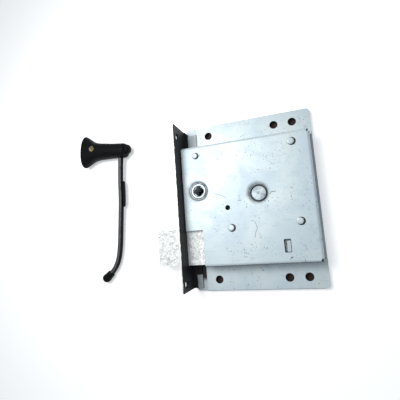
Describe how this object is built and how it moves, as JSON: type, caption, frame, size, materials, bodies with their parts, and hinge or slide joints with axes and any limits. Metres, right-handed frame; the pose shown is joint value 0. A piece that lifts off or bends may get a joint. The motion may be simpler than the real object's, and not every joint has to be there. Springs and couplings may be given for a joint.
{
  "type": "mortise lock",
  "caption": "Flanged steel mortise lock with a sliding bolt worked by a square-spindle hub, and its loose lever handle.",
  "frame": {"origin": "middle of the bounding box of lock and handle, on the table plane", "axes": "+Z out of the case front, +Y to the top of the lock, -X the way the bolt shoots"},
  "size_m": [0.2486, 0.177, 0.0358],
  "materials": {
    "zinc_front": "bright zinc plate, pale blue-grey, faint mottling and scratches",
    "zinc_back": "dull zinc plate",
    "black_paint": "satin black paint, worn to bare metal along the free edge",
    "bolt_casting": "zinc plated rough casting, pitted",
    "works_steel": "plain stamped steel, lightly oiled",
    "bright_steel": "zinc plated turned steel",
    "spring_steel": "oiled spring wire",
    "handle_paint": "satin black enamel over cast metal",
    "brass": "worn brass, slotted"
  },
  "bodies": {
    "case": {"back_plate": "zinc_back", "case_shell": "zinc_front", "faceplate": "black_paint", "spring_lug": "zinc_back", "foot_rivet_upper": "zinc_back", "foot_rivet_lower": "zinc_back", "guide_bracket": "works_steel", "hub_stop_pin": "works_steel", "spacer_top_left": "works_steel", "spacer_top_right": "works_steel", "spacer_low_right": "works_steel", "hub_front_bush": "bright_steel", "hub_rear_bush": "bright_steel", "follower_rear_bush": "bright_steel", "rivet_top_left": "bright_steel", "rivet_top_right": "bright_steel", "rivet_low_right": "bright_steel", "rivet_low_left": "bright_steel", "bolt_spring": "spring_steel"},
    "bolt": {"bolt_head": "bolt_casting", "bolt_tail": "works_steel", "tail_rivet_1": "works_steel", "tail_rivet_2": "works_steel"},
    "hub": {"hub": "bright_steel", "hub_arm": "works_steel"},
    "follower": {"follower": "bright_steel", "follower_arm": "works_steel"},
    "handle": {"handle_neck": "handle_paint", "handle_cap": "handle_paint", "handle_lever": "handle_paint", "handle_rib": "handle_paint", "handle_tip": "handle_paint", "handle_set_screw": "brass"}
  },
  "joints": [
    {"name": "bolt_slide", "type": "slide", "parent": "case", "child": "bolt", "axis": [1, 0, 0], "range_m": [0, 0.0295], "stiffness_N_per_m": 350, "springref_m": -0.02, "deforming": ["bolt_spring"]},
    {"name": "hub_turn", "type": "hinge", "parent": "case", "child": "hub", "pos_m": [0.01581, 0.00759, 0.012], "axis": [0, 0, 1], "range_deg": [0, 43.5]},
    {"name": "follower_turn", "type": "hinge", "parent": "case", "child": "follower", "pos_m": [0.07221, -0.00051, 0.012], "axis": [0, 0, 1], "range_deg": [0, 48.5]},
    {"name": "handle_lift", "type": "slide", "parent": "case", "child": "handle", "axis": [0, 0, 1], "range_m": [0, 0.06]}
  ],
  "couplings": [
    {"joint": "hub_turn", "follows": "bolt_slide", "rad_per_m": 25.678},
    {"joint": "follower_turn", "follows": "bolt_slide", "rad_per_m": 28.62}
  ]
}
